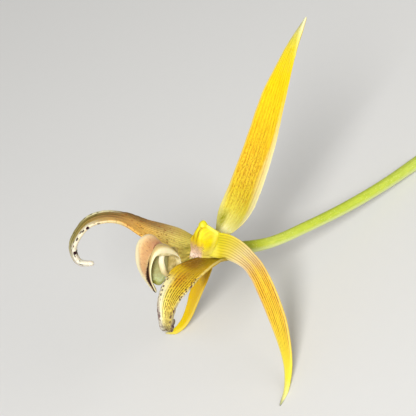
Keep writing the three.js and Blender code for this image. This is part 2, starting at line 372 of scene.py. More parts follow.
class Paint:
    """A procedural material. colour is what is painted so far. A place is a vector socket, or
    the two or three numbers of a vector."""

    def __init__(self, name):
        self.material = bpy.data.materials.new(name)
        self.material.use_nodes = True
        self.tree = self.material.node_tree
        self.shader = self.tree.nodes["Principled BSDF"]

    def node(self, kind, **settings):
        node = self.tree.nodes.new(kind)
        for key, value in settings.items():
            setattr(node, key, value)
        return node

    def feed(self, socket, value):
        """Gives a socket a number, a colour, a place or the output of another node."""
        value = getattr(value, "socket", value)
        if isinstance(value, tuple):
            node = self.node("ShaderNodeCombineXYZ")
            for part, number in zip(node.inputs, value):
                self.feed(part, number)
            value = node.outputs[0]
        if isinstance(value, bpy.types.NodeSocket):
            self.tree.links.new(value, socket)
        else:
            socket.default_value = linear(value) if isinstance(value, str) else value

    def math(self, operation, *values):
        node = self.node("ShaderNodeMath", operation=operation)
        for socket, value in zip(node.inputs, values):
            self.feed(socket, value)
        return Num(self, node.outputs[0])

    def pair(self, name):
        """The two numbers of a UV map."""
        node = self.node("ShaderNodeSeparateXYZ")
        self.feed(node.inputs[0], self.node("ShaderNodeUVMap", uv_map=name).outputs[0])
        return Num(self, node.outputs[0]), Num(self, node.outputs[1])

    def in_object(self):
        """Where a point is in its object, in metres."""
        return self.node("ShaderNodeTexCoord").outputs["Object"]

    def noise(self, place, detail=2.0, roughness=0.5, scale=1.0):
        node = self.node("ShaderNodeTexNoise")
        self.feed(node.inputs["Vector"], place)
        for key, value in (("Scale", scale), ("Detail", detail), ("Roughness", roughness)):
            node.inputs[key].default_value = value
        return Num(self, node.outputs["Fac"])

    def scatter(self, place, scale):
        """Distance to the nearest of many scattered points, and a random number for each."""
        node = self.node("ShaderNodeTexVoronoi")
        self.feed(node.inputs["Vector"], place)
        node.inputs["Scale"].default_value = scale
        pick = self.node("ShaderNodeSeparateColor")
        self.feed(pick.inputs[0], node.outputs["Color"])
        return Num(self, node.outputs["Distance"]), Num(self, pick.outputs[0])

    def dots(self, place, scale, size, share):
        """Scattered dots that fade over a range of size, at the points picked by a share."""
        distance, pick = self.scatter(place, scale)
        return distance.step(*size) * pick.step(*share)

    def mix(self, factor, low, high):
        node = self.node("ShaderNodeMix", data_type="RGBA")
        for index, value in ((0, factor), (6, low), (7, high)):
            self.feed(node.inputs[index], value)
        return node.outputs[2]

    def coat(self, amount, colour):
        """Lays a colour over what is painted so far."""
        self.colour = self.mix(amount, self.colour, colour)

    def finish(self, roughness, height, relief, gloss, glow=0.12):
        """height is in units of relief, which is in millimetres."""
        self.feed(self.shader.inputs["Base Color"], self.colour)
        self.feed(self.shader.inputs["Roughness"], roughness)
        self.shader.inputs["Specular IOR Level"].default_value = gloss
        self.shader.inputs["Subsurface Weight"].default_value = glow
        self.shader.inputs["Subsurface Radius"].default_value = (1.0, 0.6, 0.25)
        self.shader.inputs["Subsurface Scale"].default_value = 0.8 * MM
        bump = self.node("ShaderNodeBump")
        bump.inputs["Distance"].default_value = relief * MM
        self.feed(bump.inputs["Height"], height)
        self.feed(self.shader.inputs["Normal"], bump.outputs[0])
        return self.material


class Skin(Paint):
    """The material of a strap. Its fields are those of strap_fields, but the face is 0 to 1."""

    def __init__(self, name):
        super().__init__(name)
        across, t = self.pair("Strap")
        wide, long = self.pair("Size")
        face, inset = self.pair("Face")
        self.v, self.wide, self.long = across * 2 - 1, wide * 100, long * 100
        self.fields = self.v, t, self.wide, self.long, face, inset * 10

    def grain(self, cross, lengthwise, detail=2.0, roughness=0.5):
        """Noise with so many grains a millimetre across and along the strap."""
        return self.noise((self.wide * cross, self.long * lengthwise), detail, roughness)

    def veins(self, count, width, wobble, dash=None):
        """Lines along the strap. With dash, a length and a share, they are broken into dashes."""
        place = (self.v + (self.grain(0.3, 0.12) - 0.5) * wobble) * (count / 2)
        index = place.rounded()
        line = abs(place - index).step(width, width * 0.3)
        if dash:
            length, share = dash
            run = self.noise((index * 7.3 + 2.1, self.long * (1 / length)), 1)
            line = line * run.step(0.5 - share, 0.6 - share)
        return line

    def satin(self, cloud, height, relief):
        """The finish of a sepal or petal."""
        return self.finish(cloud.step(0.2, 0.8) * 0.15 + 0.42, height, relief, gloss=0.1)


# ---- sepals and petals ----

def toward_tip(bend, even, first, closer):
    """Steps from 0 to 1: even ones up to bend, and ever closer ones from there."""
    rest = np.sin(np.linspace(first, 1, closer) * np.pi / 2)
    return np.concatenate([np.linspace(0, bend, even), bend + (1 - bend) * rest])


def toward_margins(count):
    """Steps from -1 to 1 that are closer at both ends."""
    return np.sin(np.linspace(-1, 1, count + 1) * np.pi / 2)


def blade_grid(t, v):
    """Grids of t along a blade, v around it and side: 1 front, -1 rear and 0 on the margins."""
    side = np.concatenate([np.ones(len(v)), -np.ones(len(v) - 2)])
    side[[0, len(v) - 1]] = 0
    t_grid, v_grid = np.meshgrid(t, np.concatenate([v, v[-2:0:-1]]), indexing="ij")
    return t_grid, v_grid, np.broadcast_to(side, t_grid.shape)


def rounding(t, start):
    """1 up to start, and from there a quarter of an ellipse down to nearly 0."""
    return np.sqrt(1 - np.clip((t - start) / (1.0005 - start), 0, 1) ** 2)


def tepal(name, form, shape, left=False, shift=None, round_from=0.975, point=0.0, blunt=9):
    """A sepal or petal. shape changes its depth and v, shift moves its points, point is how much
    it narrows before the rounding of its tip, and a low blunt thins it towards its margins."""
    t, v, side = blade_grid(toward_tip(0.965, 300, 0.04, 30), toward_margins(44))
    tip = rounding(t, round_from)
    taper = 1 - point * smooth(t, 0.93, 1)
    body = (MARGIN + (form["midrib"] - MARGIN) * (1 - v ** 2)) / 2 * taper
    edge = np.sqrt(np.clip(1 - np.abs(v) ** blunt, 0, 1))
    half_width = along(form["half_width"], t) * tip * taper
    depth, v_shaped = shape(t, v, side, side * body * edge * tip)
    points = strap(form, t, v_shaped, depth, half_width)
    if shift:
        points = points + shift(t, v) * AXES
    long = lengths(along(form["spine"], t[:, 0]))[:, None]
    inset = (1 - np.abs(v)) * half_width
    return loft(name, points, strap_fields(v, t, v * half_width, long, side * edge, inset), left)


def ribbed(count, height, margin_wave, seed, keel=0.0, groove=0.0):
    """Fine ribs along the front, a keel along the rear, a furrow on the front, wavy margins."""
    def shape(t, v, side, depth):
        front = side > 0
        fade = smooth(1 - np.abs(v), 0.02, 0.2)
        depth = depth + front * height * fade * np.cos(np.pi * count * v)
        depth = depth - front * groove * np.exp(-(v / 0.2) ** 2) * smooth(t, 0.02, 0.2)
        depth = depth - (side < 0) * keel * np.exp(-(v / 0.12) ** 2) * smooth(1 - t, 0.0, 0.2)
        wave = margin_wave * wander(t * 40, seed) * np.where(v > 0, 1, wander(t * 31, seed + 1))
        return depth + wave * v ** 4, v
    return shape


def lateral_shape(seed, slim, teeth, shoulder=0.0):
    """A lateral sepal: slim claw, fuller shoulder, and teeth that are given for v > 0 and v < 0."""
    ribs = ribbed(11, 0.03, 0.05, seed, keel=0.25, groove=0.08)

    def shape(t, v, side, depth):
        depth, v = ribs(t, v, side, depth)
        depth = depth * (slim + (1 - slim) * smooth(t, 0, 0.28))
        edge = smooth(np.sin(t * 150 + 2 * wander(t * 25, seed + 2)), -0.9, 0.3)
        bite = np.where(v > 0, *teeth) * (1 - edge) * smooth(t, 0.3, 0.45) * np.abs(v) ** 6
        narrowing = 0.15 * (1 - smooth(t, 0, 0.04)) + 0.5 * (1 - smooth(t, 0, 0.22)) * (v > 0)
        fuller = shoulder * window(t, 0.2, 0.35, 0.38, 0.52) * (v < 0)
        return depth, v * (1 - bite - narrowing + fuller)
    return shape


def raised(t, _):
    """Lifts the claw of the right lateral sepal to the petal above it."""
    return (0.42 * (1 - smooth(t, 0.14, 0.36)))[..., None] * np.array([-0.19, -0.4, 0.9])


# How far the outer margin of the left lateral sepal is lifted, at even steps from base to tip.
MARGIN_LIFT = [0.7, 0.65, 0.32, 0.36, 0.36, 0.36, 0.2, 0, 0, 0, 0]


def to_foot(t, v):
    """Brings the left lateral sepal's inner margin down to the foot and lifts its outer one."""
    reach = window(t, 0.05, 0.12, 0.19, 0.28) * smooth(-v, 0.2, 1)
    way = np.stack([0.75 + 0 * t, -2 - 16 * (t - 0.12), -1.25 - 17 * (t - 0.12)], -1)
    lift = along(MARGIN_LIFT, t) * smooth(v, -0.2, 0.8)
    return way * reach[..., None] + lift[..., None] * np.array([-0.19, 0.4, 0.9])


# How much further the margins reach than their forms say, in half widths at even steps.
DORSAL_RIGHT = [-0.5, 0.1, 0.35, 0.37, 0.28, 0.21, 0.14, 0.1, 0.08, 0.08, 0.06, 0.02, 0, 0, 0, 0,
                0, 0, 0, 0, 0]
DORSAL_LEFT = [0, 0, 0, 0, 0, 0.03, 0.05, 0.05, 0.045, 0.05, 0.05, 0.085, 0.07, 0.07, 0.04, 0.01,
               0, 0.04, 0.12, 0.15, 0.1]
PETAL_LOWER = [0, 0.09, 0.09, 0.09, 0.02, 0, 0, 0, 0.03, 0.05, 0.06, 0.05, 0.04, 0.02, 0, 0,
               0.05, 0.04, 0, 0, 0]
PETAL_UPPER = [0, 0, 0, 0, 0, 0, 0, 0, 0.03, 0.06, 0.11, 0.12, 0.14, 0.09, 0, -0.05, -0.18, -0.28,
               -0.2, -0.12, -0.1]


def widened(ribs, low, high):
    """A blade whose margins follow their tables."""
    def shape(t, v, side, depth):
        depth, v = ribs(t, v, side, depth)
        return depth, v * (1 + np.where(v < 0, along(low, t), along(high, t)))
    return shape


def drooping(t, v, side, depth):
    """The left petal, whose upper margin dips where the petal leaves the column."""
    depth, v = ribbed(9, 0.03, 0.06, 29, keel=0.15)(t, v, side, depth)
    return depth, v * (1 - 0.45 * window(t, 0.02, 0.08, 0.16, 0.26) * (v > 0))


dorsal = tepal("dorsal_sepal_flesh", DORSAL_SEPAL,
               widened(ribbed(13, 0.03, 0.08, 3, keel=0.2), DORSAL_RIGHT, DORSAL_LEFT),
               round_from=0.985, point=0.45, blunt=2.5)
lateral_right = tepal("lateral_sepal_right_flesh", LATERAL_SEPAL_RIGHT,
                      lateral_shape(11, slim=0.35, teeth=(0.09, 0.02), shoulder=0.15), shift=raised)
lateral_left = tepal("lateral_sepal_left_flesh", LATERAL_SEPAL_LEFT,
                     lateral_shape(17, slim=0.6, teeth=(0.02, 0.1)), left=True, shift=to_foot)
petal_right = tepal("petal_right_flesh", PETAL_RIGHT,
                    widened(ribbed(9, 0.04, 0.06, 23, keel=0.15), PETAL_LOWER, PETAL_UPPER),
                    round_from=0.985, point=0.4)
petal_left = tepal("petal_left_flesh", PETAL_LEFT, drooping, left=True, round_from=0.985,
                   point=0.3)


# ---- column and anther cap ----

def meshed(name, body):
    """A mesh from a bmesh, which is freed."""
    mesh = bpy.data.meshes.new(name)
    body.to_mesh(mesh)
    body.free()
    return mesh


def remeshed(name, node, voxel, passes, additions):
    """A fine, softened copy of a CAD node with some meshes added."""
    body = bmesh.new()
    for mesh in (bpy.data.objects[node].data, *additions):
        body.from_mesh(mesh)
    thing = add_object(name, meshed(name, body))
    modifier = thing.modifiers.new("Voxels", "REMESH")
    modifier.mode = "VOXEL"
    modifier.voxel_size = voxel * MM
    soften = thing.modifiers.new("Soften", "SMOOTH")
    soften.factor = 0.5
    soften.iterations = passes
    settle(thing)
    return thing


def flower_fields(thing):
    """UV maps that hold where each vertex is in the flower: (forward, up) and (side, up)."""
    forward, aside, up = in_flower(points_of(thing)).T
    while thing.data.uv_layers:
        thing.data.uv_layers.remove(thing.data.uv_layers[0])
    set_fields(thing.data, {
        "Profile": np.stack([forward, up + 20], -1) / 50,
        "Width": np.stack([aside + 20, up + 20], -1) / 50,
    })


def web(left):
    """The swelling between the column's edge and the base of a petal, as a convex solid."""
    form = PETAL_LEFT if left else PETAL_RIGHT
    slim = 0.75 if left else 1
    base = np.meshgrid([0.0, 0.012], [-0.85, -0.3, 0.3, 0.9], [-0.4, 0.3])
    t, v, depth = (grid.ravel() for grid in base)
    edge = np.array([[14.1, 0.5, 9.9], [14.9, 1.4 * slim, 8], [15.4, 2 * slim, 5.6],
                     [15.5, 2.3 * slim, 3], [15.2, 2.3, 1.2], [13.1, 0.5, 10.1], [9.5, 1.5, 6.5],
                     [9, 2.2, 0.5]])
    body = bmesh.new()
    for point in placed(np.concatenate([strap(form, t, v, depth), edge * AXES]), left):
        body.verts.new(point)
    bmesh.ops.convex_hull(body, input=body.verts)
    return meshed("web", body)


def sculpt(points):
    """The column with a straight slope to its apex on the left and a slim foot."""
    forward, aside, up = points.T.copy()
    slope = window(up, 4.5, 7, 8.6, 10) * (1 - smooth(aside, -0.8, 0))
    aside = aside * (1 - 0.28 * slope)
    foot = smooth(forward, 15.1, 16.8) * smooth(-up, -2.2, -0.3)
    aside = aside * (1 - 0.5 * foot)
    up = up - 1.25 * foot * smooth(up, -2.6, -0.9)
    ridge = 9.75 - 0.72 * np.maximum(0, 13.2 - forward)
    up = np.where(up > ridge, ridge + 0.25 * (up - ridge), up)
    return np.stack([forward, aside, up], -1)


def cap_rings():
    """The anther cap: a small dome, a little flattened on both sides."""
    profile = [(0.05, -0.7), (0.6, -0.7), (1.1, -0.65)]
    for a in np.linspace(0, np.pi / 2, 20):
        profile.append((1.22 * math.cos(a) ** 1.6 + 0.02, 1.6 * math.sin(a) - 0.6))
    angle = np.linspace(0, 2 * np.pi, 48, endpoint=False)
    rings = []
    for radius, height in profile:
        r = radius * (1 - 0.06 * np.abs(np.sin(angle)) ** 3 * (height > 0))
        rings.append(np.stack([r * np.cos(angle), r * np.sin(angle), 0 * angle + height], -1))
    return np.array(rings) + CAP_CENTRE * AXES


column = remeshed("column_flesh", "column", 0.13, 14, [web(False), web(True)])
move_points(column, placed(sculpt(in_flower(points_of(column))) * AXES))
column.data.update()
flower_fields(column)
cap = loft("anther_cap_flesh", cap_rings(), {})
flower_fields(cap)


# ---- pedicel and lip ----

def stem(name, path, radius, sides, steps, ribs=0.0, flat=1.0, ends=0.0):
    """A round stem, or a flattened one, with ends rounded over a share of its length."""
    angle = np.linspace(0, 2 * np.pi, sides, endpoint=False)
    t, angle = np.meshgrid(np.linspace(0, 1, steps), angle, indexing="ij")
    here, outward, across = frames(path, np.broadcast_to([0.0, 1, 0], t.shape + (3,)), t)
    r = along(radius, t) * (1 + ribs * np.cos(6 * angle + 2 * t))
    if ends:
        inward = np.clip(1 - np.minimum(t, 1 - t) / ends, 0, 0.999)
        r = r * np.sqrt(1 - inward ** 2)
    aside = across * (r * -np.cos(angle))[..., None]
    points = here + aside + outward * (flat * r * np.sin(angle))[..., None]
    around = 1 - np.abs(angle / np.pi - 1)
    long = lengths(along(path, t[:, 0]))[:, None]
    fields = strap_fields(around * 2 - 1, t, around * 5, long, np.sin(angle), np.cos(angle) * 5 + 5)
    return loft(name, points, fields)


# Depths of the lip at even steps from its hinge to its tip: the crest of the left half, which
# is a tall hood, the crest of the right half, the valley between them, where that valley lies
# across the lip, how far the margins hang down inside the arch, and the underside between them.
LIP_LEFT = [1.1, 0.6, 0, -0.4, -0.1, 1.1, 2.3, 2.7, 2.2, 1.5, 1.2, 0.95, 0.7, 0.55, 0.4]
LIP_RIGHT = [0.6, 0.3, 0.1, 0.2, 0.4, 0.6, 0.65, 0.4, 0.1, -0.1, -0.05, 0, 0.1, 0.2, 0.3]
LIP_VALLEY = [0.4, 0.2, -0.1, -0.2, 0, 0.4, 0.1, -0.7, -0.7, -0.5, -0.45, -0.4, -0.3, -0.15, 0]
VALLEY_AT = [0, 0, 0, 0, 0, 0.08, 0.2, 0.34, 0.44, 0.48, 0.5, 0.5, 0.5, 0.5, 0.45]
LIP_HANG = [0.5, 0.5, 0.7, 1.6, 2.5, 2.7, 2.7, 2.2, 1.4, 0.9, 0.65, 0.45, 0.35, 0.25, 0.2]
LIP_UNDERSIDE = [1.2, 1.2, 1.2, 1.15, 1.1, 1.1, 1.2, 1.3, 1.25, 1.1, 0.95, 0.85, 0.7, 0.6, 0.45]
LIP_LENGTH = 28


def lip_arch(name):
    """The lip's arch: two crests with a slit between them, and margins that hang down inside."""
    v = np.concatenate([toward_margins(60), np.linspace(-0.3, 0.8, 56)])
    t, v, side = blade_grid(toward_tip(0.94, 220, 0.05, 24), np.unique(np.round(v, 5)))
    tip = rounding(t, 0.96)
    edge = np.sqrt(np.clip(1 - np.abs(v) ** 6, 0, 1))
    from_valley = v - along(VALLEY_AT, t)
    reach = 0.75 - 0.4 * smooth(t, 0.5, 0.75)
    valley = along(LIP_VALLEY, t)
    left = (along(LIP_LEFT, t) - valley) * (1 - smooth(from_valley, -reach, -0.07))
    right = (along(LIP_RIGHT, t) - valley) * smooth(from_valley, 0.05, 0.28)
    front = valley + left + right
    hang = smooth(np.abs(v), 0.4, 0.85)
    rear = along(LIP_UNDERSIDE, t) * (1 - hang) + along(LIP_HANG, t) * hang
    middle = (front - rear) / 2 * np.abs(v) ** 3
    depth = np.where(side > 0, front - middle, np.where(side < 0, -(rear + middle), 0)) * edge
    half_width = along(LIP["half_width"], t) * tip
    points = strap(LIP, t, v, (depth + middle) * tip, half_width)
    inset = (1 - np.abs(v)) * half_width
    fields = strap_fields(v, t, from_valley * half_width, t * LIP_LENGTH, side * edge, inset)
    return loft(name, points, fields)


# The keel under the arch: each part's path, radii, flatness and rounded ends, and the mark in
# its Face map that tells the material which part it is.
FOLD = np.array([[27.2, 1.2, 5.8], [28, 1.7, 3.2], [27.7, 1.9, 1.1], [26.9, 1.9, -0.8],
                 [25.2, 1.7, -2.8]])
FOLD_RADIUS = [0.7, 0.75, 0.8, 0.75, 0.5]
KEEL_PARTS = (
    ("lobe", [[27, 0, 6.6], [27.4, 0, 2.4], [27.5, 0, -1.8], [26.6, 0, -5.8]],
     [1.8, 2.5, 2.6, 1.3], 0.72, 0.16, -1),
    ("web", [[23.4, 0, 4.8], [23.3, 0, 2.2], [23.7, 0, -0.6], [24.4, 0, -3]],
     [1.2, 1.9, 1.9, 1.2], 0.75, 0.12, -3),
    ("fold_right", FOLD, FOLD_RADIUS, 1.0, 0.1, -2),
    ("fold_left", FOLD * [1, -1, 1], FOLD_RADIUS, 1.0, 0.1, -2),
)
pedicel = stem("pedicel_flesh", PEDICEL["path"], PEDICEL["radius"], 48, 320, ribs=0.012)
lip = lip_arch("lip_flesh")
keel_parts = []
for part, path, radius, flat, ends, mark in KEEL_PARTS:
    thing = stem(part, path, radius, 40, 70, flat=flat, ends=ends)
    layer = thing.data.uv_layers["Face"]
    layer.data.foreach_set("uv", np.full(2 * len(thing.data.loops), mark, np.float32))
    keel_parts.append(thing)
combine(lip, "UNION", keel_parts)
for thing in keel_parts:
    bpy.data.objects.remove(thing)


# ---- seats: pieces are cut clear of the column, and the lateral sepals of the petals ----

def grown(thing, grow):
    """A copy of an object that is larger by some millimetres all round."""
    copy = add_object("room", thing.data.copy())
    normals = read_all(copy.data.vertices, "normal")
    move_points(copy, points_of(copy) + normals * grow * MM)
    copy.data.update()
    return copy


seat = grown(column, 0.02)
room_right = grown(petal_right, 0.1)
room_left = grown(petal_left, 0.1)
room_lip = grown(lip, 0.1)
combine(lateral_right, "DIFFERENCE", [room_right, seat])
combine(lateral_left, "DIFFERENCE", [room_left, seat, room_lip])
for thing in (dorsal, petal_right, petal_left, lip, pedicel):
    combine(thing, "DIFFERENCE", [seat])
for cutter in (seat, room_right, room_left, room_lip):
    bpy.data.objects.remove(cutter)
for thing in (petal_right, petal_left, pedicel):
    points = points_of(thing)
    points[:, 2] = np.maximum(points[:, 2], 0)
    move_points(thing, points)
for thing in (dorsal, lateral_right, lateral_left, petal_right, petal_left, lip, pedicel):
    thing.data.set_sharp_from_angle(angle=math.radians(50))


# ---- the colours, each laid over those before it ----

def dorsal_material():
    p = Skin("dorsal_sepal_skin")
    v, t, wide, long, face, inset = p.fields
    cloud = p.grain(0.5, 0.09, 3)
    grain = p.grain(1.6, 0.7, 3, 0.7)
    uneven = t + (grain - 0.5) * 0.06
    p.colour = uneven.ramp(
        "0 f0ecc4, 6 e2da7c, 13 e0d248, 22 e4c92e, 32 f3ce36, 45 fad028, 58 fcd81e, 72 fdd90c, "
        "84 f0d824, 90 e2d650, 96 dcd898, 100 dcdcb8")
    p.coat(grain.step(0.46, 0.7) * 0.3, t.ramp("0 c4bc50, 30 d8a020, 70 eeb808, 100 e8dc90"))
    fine = p.veins(9, 0.3, 0.1, dash=(3, 0.2))
    fine = fine * v.step(-0.82, -0.6) * t.step(0.03, 0.2)
    p.coat(fine * 0.25 * t.step(0.75, 0.45), t.ramp("0 a8a040, 40 d08e10, 100 e0b418"))
    fibre = p.grain(2, 0.3, 2, 0.6)
    p.coat(fibre.step(0.5, 0.64) * 0.45 * t.band(0.05, 0.2, 0.5, 0.95),
           t.ramp("0 b0a030, 35 d48c14, 80 e8b008"))
    core = v.band(-0.65, -0.2, 0.7, 0.98)
    dense = t.bell(0.3, 0.32) * core
    p.coat(p.veins(13, 0.28, 0.24, dash=(0.7, 0.03)) * dense * 0.5, "b06814")
    mark = p.noise((wide * 2.4 + 9, long * 1.1), 1.5)
    p.coat(mark.step(0.54, 0.64) * dense * 0.5, "a4681a")
    p.coat(cloud.step(0.5, 0.75) * 0.3 * core * t.bell(0.5, 0.35), "f0a814")
    p.coat(t.step(0.13, 0.05) * v.step(0.1, 0.6) * 0.45, "bcb050")
    p.coat((t + v * 0.03).bell(0.08, 0.07) * v.bell(0.6, 0.5) * grain.step(0.2, 0.55), "8e8c10")
    ragged = inset + (cloud - 0.5) * 1.6 + (grain - 0.5) * 0.9
    # The cream band along the right margin: the sepal's pale margin, and partly painted highlight where
    # the margin turns to the light.
    right_rim = ragged.step(t.bell(0.28, 0.26) * 2.2 + 1.6, 0.3) * v.step(0, -0.4)
    right_rim = right_rim * t.band(0.03, 0.14, 0.4, 0.75)
    p.coat(right_rim * 0.8, "f6edb4")
    left_rim = inset.step(t.step(0.3, 0.08) * 1.4 + 0.7, 0.1) * v.step(0, 0.4)
    p.coat(left_rim * 0.55, t.ramp("2 a09c50, 7 b4ac5c, 14 dcd498, 30 cfc084"))
    thin_rim = inset.step(0.5, 0.1) * v.step(0, -0.4) * t.step(0.4, 0.6)
    p.coat(thin_rim * 0.5, t.ramp("50 dcb820, 80 dcc020, 95 e4e0b0"))
    p.coat(face.step(0.45, 0.3) * 0.5, "dcbc44")
    height = fine * -0.6 + p.grain(3, 1.2, 3) * 0.7
    return p.satin(cloud, height, 0.12)


def petal_material(name, near):
    p = Skin(name)
    v, t, wide, long, face, inset = p.fields
    cloud = p.grain(0.6, 0.12, 3)
    grain = p.grain(2, 0.8, 3, 0.7)
    lines = p.veins(9, 0.28, 0.05)
    if near:
        uneven = t + (grain - 0.5) * 0.04
        p.colour = uneven.ramp(
            "0 dccf1c, 6 d8c630, 12 d8c458, 17 dec888, 24 d6b676, 31 deb84c, 40 f0c634, "
            "54 f2cc38, 64 f2da3e, 73 f4e244, 82 f0e444, 90 f0ec84, 95 e8e490, 98.5 c0c088, "
            "100 b0b090")
        body = t.band(0.2, 0.34, 0.6, 0.74)
        side_zone = abs(v - 0.05).step(0.06, 0.3) * body
        p.coat(side_zone * 0.18, t.ramp("25 d0a464, 40 e0a03c, 60 e6ac38, 75 e8c434"))
        stripe = v.bell(0.06, 0.3).most(v.bell(0.32, 0.3) * t.step(0.42, 0.56))
        stripe = stripe * t.band(0.1, 0.2, 0.62, 0.8)
        p.coat(stripe * 0.8, t.ramp("15 e2cf80, 30 f0cc44, 45 fad23c, 70 fcdc3c"))
        p.coat(v.step(0.35, 0.8) * t.band(0.3, 0.4, 0.6, 0.8) * 0.5, "f8cc44")
        tint = t.ramp(
            "0 b8ac1c, 10 bca42c, 18 a48450, 26 945c40, 36 985424, 50 ac6424, 68 c09428, "
            "85 dcc42c, 100 e0d060")
        broken = p.grain(1.5, 1.4).step(0.56, 0.42) * body * -0.5 + 1
        deep = p.veins(9, 0.34, 0.05, dash=(5, 0.02)) * body
        beside = 1 - stripe * 0.42
        p.coat(deep * beside * 0.5, "8c481c")
        p.coat(lines * broken * beside * 0.7 * (t + v * 0.03).step(0.01, 0.05) * t.step(0.86, 0.66), tint)
        p.coat((t + v * 0.03).step(0.04, 0) * 0.7, "ece25c")
        p.coat(p.dots((wide * 1.6, long * 0.7), 1, (0.3, 0.16), (0.6, 0.66)) * body * 0.3, "8c4a20")
        upper_rim = (inset + (grain - 0.5) * 0.4).step(0.4, 0.1) * v.step(0, 0.4)
        upper_rim = upper_rim * t.band(0.06, 0.16, 0.6, 0.8)
        p.coat(upper_rim * 0.4, "dcc07c")
        lower_rim = (inset + (grain - 0.5) * 0.5).step(0.8, 0.2) * v.step(0, -0.4) * t.step(0.1, 0.2)
        p.coat(lower_rim * 0.7, t.ramp("10 f6eec0, 25 e2c89c, 50 dcb884, 62 ecd890, 80 e8de6c, "
                                       "100 e0dcb0"))
    else:
        uneven = t + (grain - 0.5) * 0.05
        # The dark brown from 22 to 33 is painted shadow, cast on the far petal by the right lateral sepal
        # above it.
        p.colour = uneven.ramp(
            "0 d2c22c, 22 7c5c04, 33 806002, 40 b48804, 46 f8c404, 70 ffd404, 82 ffdc0c, "
            "90 fae428, 95 ece068, 100 dcdcc0")
        p.coat(lines * 0.12, "d09814")
        p.coat(grain.step(0.5, 0.75) * 0.25, "eab010")
        rim = inset.step(0.5, 0.1) * t.step(0.4, 0.5)
        p.coat(rim * 0.5, "d8c868")
    p.coat(face.step(0.45, 0.3) * 0.4, "e4c840")
    height = lines * -0.7 + p.grain(3, 1.5, 3) * 0.6
    return p.satin(cloud, height, 0.1)


def near_lateral_material():
    p = Skin("lateral_sepal_right_skin")
    v, t, wide, long, face, inset = p.fields
    cloud = p.grain(0.5, 0.15, 3)
    grain = p.grain(2, 1, 3, 0.7)
    uneven = t + (grain - 0.5) * 0.05
    # The left ramp's dark olive-brown from 14 to 24 is the claw's tone with painted shade, since the claw
    # lies under the column.
    left = uneven.ramp(
        "0 b0a010, 14 8c700a, 24 8c6410, 31 b48414, 36 ecc41c, 46 fad02c, 54 fce04c, 64 fdea70, "
        "76 faec94, 84 e6dcb4, 90 c8bca0, 100 a89c90")
    right = uneven.ramp(
        "0 b8ac18, 14 b09818, 24 bc9a0c, 34 e0b414, 42 ecc21c, 50 f4cc2c, 60 fad83c, 72 ead060, "
        "82 d8c474, 90 a09078, 100 8c8078")
    p.colour = p.mix(v.step(-0.5, 0.3), left, right)
    p.coat(t.bell(0.46, 0.14) * v.bell(-0.12, 0.6) * grain.step(0.3, 0.6), "d8901c")
    # Painted shade on the claw, which lies under the column, and a second, softer brown painted shade a
    # little further along.
    p.coat(t.bell(0.24, 0.11) * v.bell(-0.55, 0.5) * grain.step(0.35, 0.6) * 0.6, "8c5c1c")
    p.coat(t.bell(0.31, 0.1) * v.bell(-0.2, 0.7) * grain.step(0.3, 0.55) * 0.6, "9c6210")
    p.coat(grain.step(0.52, 0.7) * t.step(0.6, 0.4) * 0.3, "f4d048")
    p.coat(grain.step(0.48, 0.32) * t.step(0.6, 0.4) * 0.3, "6c4808")
    lines = p.veins(10, 0.29, 0.08, dash=(0.8, 0.12))
    soft = p.veins(10, 0.4, 0.08)
    tint = t.ramp("0 6c5808, 30 804c10, 44 8c500c, 60 6e460e, 80 483410, 100 4c3028")
    spread = t.step(0.06, 0.2) * v.step(-0.98, -0.62)
    p.coat(soft * 0.2 * spread, tint)
    p.coat(lines * 0.78 * spread * t.step(0.36, 0.5), tint)
    specks = p.dots((wide * 1.2, long * 0.8), 1.3, (0.32, 0.18), (0.55, 0.6))
    p.coat(specks * t.band(0.28, 0.4, 0.7, 0.8) * spread * 0.6, "8a4812")
    cream = (v + (grain - 0.5) * 0.15).step(-0.35, -0.72) * t.step(0.4, 0.52)
    p.coat(cream * 0.85, t.ramp("42 fce468, 52 fbf2b8, 75 f8f2dc, 90 d4c8b4"))
    side_rim = (inset + (grain - 0.5) * 0.3).step(0.4, 0.1) * v.step(0, 0.5) * t.step(0.06, 0.16)
    p.coat(side_rim * 0.6, t.ramp("10 d8d088, 35 f0e090, 60 dcc870, 76 8c7c4c"))
    rim = face.step(0.86, 0.66) * t.step(0.4, 0.5)
    p.coat(rim * 0.6, t.ramp("40 d8c454, 60 dcd09c, 72 a09478, 90 94887c"))
    dots = p.dots((inset * 0.8 + face * 2.2, long * 1), 1, (0.48, 0.34), (0.06, 0.12))
    # A thin dark brown line along the claw's upper margin: painted shade where that margin curls under
    # the column.
    p.coat(inset.step(0.4, 0.1) * v.step(0, -0.5) * t.step(0.34, 0.26) * 0.7, "5c4010")
    p.coat(dots * inset.step(0.85, 0.55) * t.step(0.38, 0.5) * 0.9, "4a2038")
    p.coat(inset.step(0.7, 0.1) * v.step(0, -0.5) * t.step(0.5, 0.6) * 0.4, "c0b4a4")
    p.coat(t.bell(0.73, 0.12) * v.step(-0.6, -0.9) * grain.step(0.32, 0.55) * 0.85, "6a4c50")
    p.coat(t.band(0.76, 0.85, 0.88, 0.96) * p.grain(1.2, 0.9).step(0.46, 0.58) * 0.75, "5c3c34")
    p.coat(face.step(0.45, 0.3) * t.step(0.6, 0.45) * 0.6, "c8a424")
    height = soft * -0.6 + p.grain(2.5, 2, 3) * 0.6
    return p.satin(cloud, height, 0.12)


